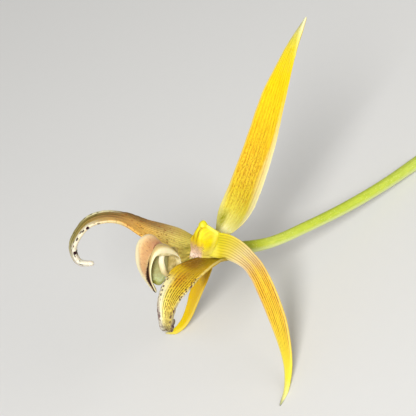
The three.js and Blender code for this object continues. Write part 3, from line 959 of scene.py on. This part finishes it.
def far_lateral_material():
    p = Skin("lateral_sepal_left_skin")
    v, t, wide, long, face, inset = p.fields
    cloud = p.grain(0.5, 0.2, 3)
    grain = p.grain(1.8, 1.1, 3, 0.7)
    uneven = t + (grain - 0.5) * 0.06
    # On the low ramp, the pale yellow from 12 to 20 is brighter than the sepal's own colour: painted
    # light where the sepal lies in shade by the column.
    low = uneven.ramp(
        "0 c8bc30, 12 fff07c, 20 ffea80, 28 f4cc6c, 36 ecb858, 44 ecb460, 54 d8ac64, 66 ac9048, "
        "76 b0a058, 83 d0c498, 90 ece4cc, 100 f0e8d6")
    high = uneven.ramp(
        "0 a49a38, 12 baa850, 22 b0985a, 30 846a44, 38 705630, 46 6e5834, 54 74603a, 64 786a30, "
        "76 a09460, 83 b8ae90, 90 c8bcb0, 100 f0ecdc")
    p.colour = p.mix(v.step(-0.1, 0.75), low, high)
    p.coat(cloud.step(0.5, 0.72) * t.bell(0.36, 0.16) * 0.55, "d8923c")
    band = t.bell(0.53, 0.17) * v.bell(0.08, 0.36)
    p.coat(band * 0.8, "86603c")
    lines = p.veins(13, 0.3, 0.08)
    p.coat(grain.step(0.46, 0.62) * 0.3 * t.step(0.6, 0.4), t.ramp("0 b49c48, 30 c08c44"))
    p.coat(lines * 0.26 * t.step(0.78, 0.6), t.ramp("0 8c8018, 30 9c7828, 60 6c5020, 100 a09060"))
    olive = t.step(0.2, 0.1) * v.step(0.4, -0.4)
    streaks = p.noise((wide * 2.2 + long * 0.5, long * 0.25))
    p.coat(olive * streaks.step(0.36, 0.6) * 0.85, "8c7e10")
    # A dark line along the sepal where it twists and folds: painted shade of the fold.
    p.coat(t.band(0.4, 0.5, 0.76, 0.86) * v.bell(0.34, 0.14) * 0.75, "544a1c")
    p.coat(v.step(0.6, 0.72) * t.band(0.44, 0.54, 0.62, 0.7) * 0.9 * grain.step(0.2, 0.5), "ece4b4")
    p.coat(inset.step(0.35, 0.1) * v.step(0, 0.5) * t.step(0.42, 0.3) * 0.2, "c4c098")
    freckle = p.dots((wide * 1.2, long * 0.9), 1.15, (0.38, 0.16), (0.4, 0.46))
    p.coat(freckle * t.band(0.1, 0.26, 0.45, 0.6) * 0.7, "8a4420")
    olive_dots = p.dots((wide * 1.1, long * 0.9), 1, (0.4, 0.24), (0.3, 0.36))
    p.coat(olive_dots * t.band(0.5, 0.6, 0.78, 0.84) * 0.75 * v.step(0, 0.3), "5c5420")
    rim = face.step(0.8, 0.6) * v.step(0.3, -0.3) * t.step(0.42, 0.56)
    rim = rim.most(v.step(-0.35, -0.75) * t.step(0.54, 0.68))
    rim = rim.most(v.step(0.35, -0.05) * t.step(0.74, 0.82))
    pale = rim.most(face.step(0.5, 0.4) * t.step(0.36, 0.5))
    p.coat(pale * 0.92, t.ramp("36 d8b878, 50 e4cc90, 64 ece0c0, 82 eee6d0, 100 f0e8d6"))
    notch = p.dots((face * 1.5 + inset * 0.35, long * 0.62), 1, (0.44, 0.3), (0.3, 0.36))
    p.coat(notch * t.band(0.55, 0.63, 0.91, 0.95) * pale.step(0.3, 0.7), "2e1018")
    mauve = t.step(0.84, 0.9) * v.step(0.2, 0.8) * grain.step(0.35, 0.65) * face.step(0.5, 0.7)
    p.coat(mauve * 0.6, "8c7880")
    height = lines * -0.6 + p.grain(2.5, 2, 3) * 0.6
    return p.satin(cloud, height, 0.12)


def column_material(name, cap=False):
    p = Paint(name)
    forward, up = p.pair("Profile")
    aside, _ = p.pair("Width")
    forward, up, aside = forward * 50, up * 50 - 20, aside * 50 - 20
    place = (forward, aside, up)
    cloud = p.noise(place, 3, scale=0.6)
    if cap:
        p.colour = p.mix(cloud.step(0.4, 0.7), "dcd018", "e8e048")
        return p.finish(cloud * 0.2 + 0.38, p.noise(place, 4, scale=3), 0.08, gloss=0.3)
    rays = p.noise((aside * 2.4 + forward, up * 0.5), 3)
    p.colour = p.mix(rays.step(0.35, 0.65), "e6d404", "d4bc0c")
    p.coat(up.step(5, 1) * 0.7, "ecdc74")
    # A pale band where the flank turns into the petals: painted highlight.
    p.coat((forward + up * 0.06).bell(12.6, 1) * up.step(8.6, 6.6) * 0.4, "f6ee70")
    p.coat(forward.step(11.4, 9.5), "d8cc3c")
    # Paler along the column's top crest: painted light on a ridge that faces the lamp.
    p.coat(forward.step(14, 13) * (up + (12.6 - forward) * 0.72).step(8, 9) * 0.85, "f8f068")
    flank = p.colour
    p.colour = (up + (cloud - 0.5) * 2.4).step(-1.5, 8.5).ramp(
        "0 fbe8d4, 22 f4d4ba, 38 dcbc98, 50 dcbc74, 62 e0c028, 82 e4cc10, 100 f0e428")
    # Random tan mottling low on the column.
    tan_mottle = p.noise(place, 3, 0.6, scale=1.6)
    p.coat(tan_mottle.step(0.42, 0.62) * up.step(6, 3.5) * 0.5, "c49a74")
    front = (forward + up * 0.05 - abs(aside) * 0.15 + (rays - 0.5) * 1.4).step(14.3, 15.5)
    p.colour = p.mix(front, flank, p.colour)
    # Dark brown streaks down the front, which at their tops just under the cap also serve as painted
    # shadow of the cap.
    streak = (abs(aside) - up * 0.02).bell(0.6, 0.7) * up.band(4, 6, 8.8, 9.6)
    p.coat(streak * front * p.noise((aside * 5, up * 0.6)).step(0.35, 0.6) * 0.9, "9c5c08")
    spots = p.dots(place, 2.6, (0.42, 0.2), (0.25, 0.3))
    p.coat(spots * forward.step(14.2, 15) * up.step(5.4, 4) * 0.7, "704048")
    tongue = (forward - abs(aside) * 0.3).step(15.9, 16.9) * up.step(1.6, 0.2)
    p.coat(tongue, p.mix(rays.step(0.4, 0.6), "8c8010", "c8b840"))
    return p.finish(cloud * 0.2 + 0.38, p.noise(place, 4, scale=3), 0.08, gloss=0.2)


def lip_material():
    p = Skin("lip_skin")
    v, t, wide, long, face, _ = p.fields
    cloud = p.grain(0.5, 0.3, 3)
    grain = p.grain(2.2, 2.2, 3, 0.7)
    p.colour = t.ramp("0 d0b868, 20 cca870, 35 c49464, 50 dcb070, 70 dcb87c, 85 d0b084, 100 a88470")
    p.coat(t.bell(0.42, 0.14) * v.bell(0.1, 0.7) * 0.65, "ac7a5c")
    p.coat(grain.step(0.44, 0.62) * 0.5, "bc8c64")
    p.coat(v.step(-0.35, 0.2) * t.step(0.3, 0.45) * 0.4, "b8805c")
    p.coat(p.dots((wide, long), 2.2, (0.42, 0.2), (0.46, 0.52)) * 0.5, "8c4c38")
    pale = (v - t.step(0.5, 0.7) * 0.25 - t.step(0.72, 0.88) * 0.4).step(-0.05, -0.72)
    pale = pale * (t.step(0.35, 0.55) * 0.6 + 0.3)
    p.coat(pale, "f8eec0")
    p.coat(v.step(0.25, 0.5) * t.step(0.82, 0.7) * 0.7, "ccbc7c")
    # The right crest's margin in cream, partly the lip's colour and partly painted light where the crest
    # faces the light; the darker tan where it starts is painted shade.
    p.coat(face.step(0.95, 0.7) * v.step(0.3, 0.7), t.ramp("35 d6cc90, 50 e2daa0, 70 f0eab8"))
    p.coat(v.bell(0.66, 0.2) * t.step(0.62, 0.45) * 0.6, "b89c68")
    p.coat(v.step(0.84, 1) * t.step(0.7, 0.55) * 0.6, "f2ebcc")
    inner = face.step(0.5, 0.38)
    p.coat(inner, cloud.step(0.35, 0.7).ramp("0 b8a468, 100 e8dcaa"))
    reach = t.step(0.66, 0.85) * 0.3 - t.step(0.86, 0.96) * 0.26 + 0.26
    # The slit between the crests in near-black maroon: the groove's maroon with painted shade in its
    # depth.
    slit = abs(wide + (grain - 0.5) * 0.3).step(reach + 0.12, reach - 0.08) * face.step(0.5, 0.6)
    slit = slit * t.step(0.62, 0.7)
    p.coat(slit * 0.98, "280802")
    crease = abs(wide).step(0.34, 0.08) * face.step(0.5, 0.6) * t.step(0.68, 0.6) * t.step(0.35, 0.45)
    p.coat(crease * grain.step(0.35, 0.6) * 0.85, "5c3424")
    mottle = p.noise(p.in_object(), 2, 0.6, scale=500)
    green = (t + (mottle - 0.5) * 0.55).ramp("10 948c5c, 50 9c9660, 72 bec690, 88 9c9e4c, 100 8c8830")
    p.coat(face.step(-0.4, -0.6), green)
    fold = (t + (mottle - 0.5) * 0.5).ramp("10 f6eed4, 50 e8dcb0, 95 b8a060")
    p.coat(face.step(-1.4, -1.6), fold)
    p.coat(face.step(-2.4, -2.6), p.mix(mottle.step(0.3, 0.7), "94803c", "c8b478"))
    return p.finish(cloud * 0.2 + 0.38 + slit * 0.5, p.grain(2, 2, 4), 0.08, gloss=0.2)


def pedicel_material():
    p = Skin("pedicel_skin")
    _, t, _, long, face, inset = p.fields
    place = p.in_object()
    cloud = p.noise(place, 3, scale=140)
    fibre = p.noise((face * 6 + inset * 0.5, long * 0.35), 3, 0.6)
    p.colour = t.ramp("0 8c8a10, 10 8c9000, 14 b4bc24, 20 c4cc54, 40 b8c63c, 70 bac840, 100 bcc854")
    p.coat(fibre.step(0.42, 0.62) * 0.4, "98ac28")
    # Paler along one side of the pedicel: painted highlight.
    p.coat(inset.step(2.6, 7.2) * 0.75, "dce4a4")
    p.coat(cloud.step(0.4, 0.7) * 0.25, "c8d448")
    spots, pick = p.scatter(place, 1400)
    p.coat(spots.step(0.4, 0.1) * pick.step(0.3, 0.5) * 0.3, "e6ec9c")
    return p.finish(cloud * 0.2 + 0.4, cloud + spots * 0.4, 0.08, gloss=0.25)


SKINS = (
    (dorsal, "dorsal_sepal", "dorsal_sepal", dorsal_material()),
    (lateral_right, "lateral_sepal_right", "lateral_sepal", near_lateral_material()),
    (lateral_left, "lateral_sepal_left", "lateral_sepal", far_lateral_material()),
    (petal_right, "petal_right", "petal", petal_material("petal_right_skin", True)),
    (petal_left, "petal_left", "petal", petal_material("petal_left_skin", False)),
    (column, "column", "column", column_material("column_skin")),
    (cap, "anther_cap", "anther_cap", column_material("anther_cap_skin", cap=True)),
    (lip, "lip", "lip", lip_material()),
    (pedicel, "pedicel", "pedicel", pedicel_material()),
)
for thing, node, slot, material in SKINS:
    thing.data.materials.clear()
    thing.data.materials.append(material)
    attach(thing, "root")
    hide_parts(node)

# ---- floor, light and camera ----

FLOOR_DEPTH = 0.0001
AIM = (0, 0, 0.03)

floor_mesh = bpy.data.meshes.new("floor")
floor_mesh.from_pydata([(-3, -3, 0), (3, -3, 0), (3, 3, 0), (-3, 3, 0)], [], [(0, 1, 2, 3)])
floor = add_object("floor", floor_mesh)
floor.location.z = -FLOOR_DEPTH
paper = Paint("floor_paper")
grain = paper.noise(paper.in_object(), 4, scale=300)
paper.colour = paper.mix(grain * 0.15, "d6d5d2", "cdccc9")
floor_mesh.materials.append(paper.finish(0.8, grain, 0.02, gloss=0.2, glow=0.0))

world = bpy.data.worlds.new("studio")
SCENE.world = world
world.use_nodes = True
background = world.node_tree.nodes["Background"]
background.inputs["Color"].default_value = (1, 1, 1, 1)
background.inputs["Strength"].default_value = 0.4


def area_light(name, place, size, power):
    """A round lamp of some width in metres and power in watts, aimed at the flower."""
    light = bpy.data.lights.new(name, "AREA")
    light.shape = "DISK"
    light.size = size
    light.energy = power
    lamp = add_object(name, light)
    lamp.location = place
    lamp.rotation_euler = (Vector(AIM) - Vector(place)).to_track_quat("-Z", "Y").to_euler()


area_light("key", (-0.4, -0.52, 0.72), 0.35, 8.4)
area_light("fill", (0.5, -0.6, 0.45), 0.6, 2.0)


def turned(direction):
    """A direction in the flower's (forward, side, up) to one on the surface."""
    return Vector(pitched(*(np.array(direction) * AXES), PITCH)).normalized()


# Where the camera stands in the flower's frame, and which ways are right of it and behind it.
EYE = [186.86, 219.30, 147.90]
EYE_RIGHT = (-0.80523, 0.58653, 0.08709)
EYE_BEHIND = (0.56133, 0.70667, 0.43074)

behind = turned(EYE_BEHIND)
above = behind.cross(turned(EYE_RIGHT)).normalized()
facing = Matrix((above.cross(behind), above, behind)).transposed()
eye = bpy.data.cameras.new("camera")
eye.lens = 100
eye.sensor_width = 36
eye.clip_start = 0.01
eye.clip_end = 20
camera = add_object("camera", eye)
camera.matrix_world = Matrix.Translation(placed(np.array(EYE) * AXES)) @ facing.to_4x4()
SCENE.camera = camera
SCENE.view_settings.view_transform = "Standard"
